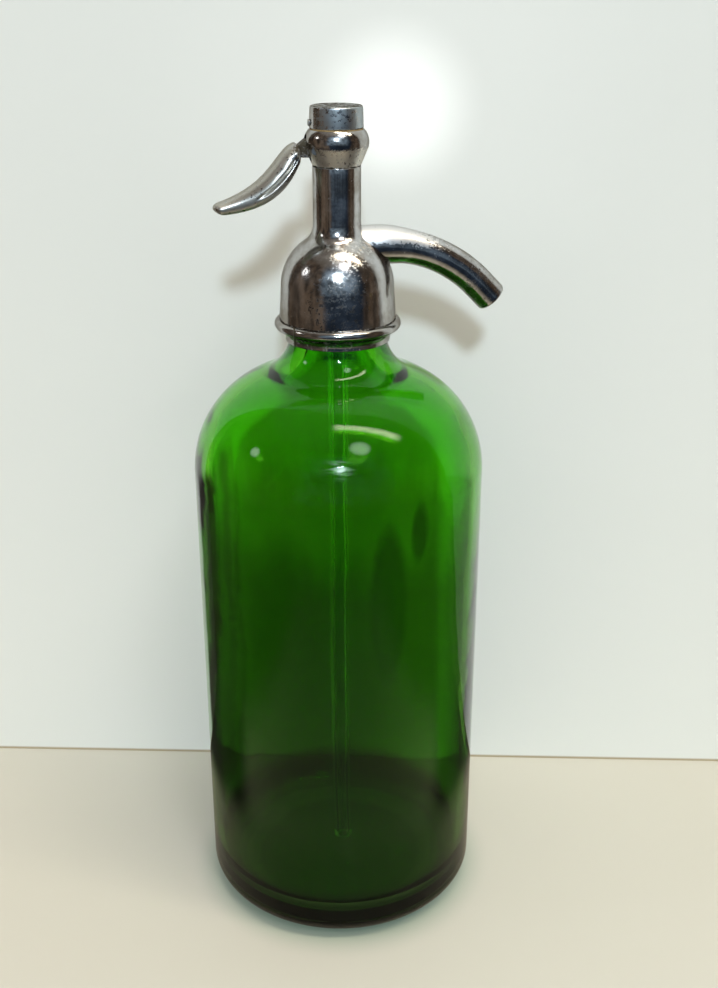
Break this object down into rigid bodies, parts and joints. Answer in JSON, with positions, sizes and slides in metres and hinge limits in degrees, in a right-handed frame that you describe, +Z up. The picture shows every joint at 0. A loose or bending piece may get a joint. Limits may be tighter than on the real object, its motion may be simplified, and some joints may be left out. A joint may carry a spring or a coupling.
{
  "type": "soda siphon",
  "caption": "Green glass soda siphon: cylindrical bottle with a plated metal head, curved spout and thumb lever that lifts a sprung valve.",
  "frame": {"origin": "centre of the standing ring under the bottle", "axes": "+Z up along the bottle's axis, +X the way the spout points, -X towards the lever"},
  "size_m": [0.1094, 0.102, 0.2937],
  "materials": {
    "green_glass": "clear deep green bottle glass, lightly scuffed",
    "tube_glass": "clear glass tube",
    "plated_metal": "worn nickel plate, pitted and scratched, brass showing through in places",
    "collar_metal": "worn nickel plate with brown tarnish in the coves",
    "lever_metal": "worn cast lever, plated, dark in the hollows",
    "pin_steel": "dull steel",
    "brass": "turned brass",
    "rubber": "black rubber",
    "fibre": "red-brown fibre",
    "spring_steel": "drawn spring wire"
  },
  "bodies": {
    "siphon": {"bottle": "green_glass", "dip_tube": "tube_glass", "tube_gasket": "rubber", "head_gasket": "rubber", "neck_cushion": "fibre", "collar_half_front": "collar_metal", "collar_half_back": "collar_metal", "head_body": "plated_metal", "spout": "plated_metal", "valve_seat": "brass", "lever_housing": "plated_metal", "fulcrum_pin": "pin_steel", "cap_gasket": "fibre", "top_cap": "plated_metal", "cap_lock_screw": "pin_steel"},
    "lever": {"lever": "lever_metal"},
    "valve": {"valve_piston": "brass", "valve_disc": "rubber", "disc_screw": "brass", "piston_packing": "rubber", "valve_spring": "spring_steel"}
  },
  "joints": [
    {"name": "lever_press", "type": "hinge", "parent": "siphon", "child": "lever", "pos_m": [-0.0082, 0, 0.2802], "axis": [0, -1, 0], "range_deg": [0, 17], "stiffness_Nm_per_rad": 0.27, "springref_deg": -17.19},
    {"name": "valve_lift", "type": "slide", "parent": "siphon", "child": "valve", "axis": [0, 0, 1], "range_m": [0, 0.0025], "deforming": ["valve_spring"]}
  ],
  "couplings": [
    {"joint": "valve_lift", "follows": "lever_press", "m_per_rad": 0.0082}
  ]
}
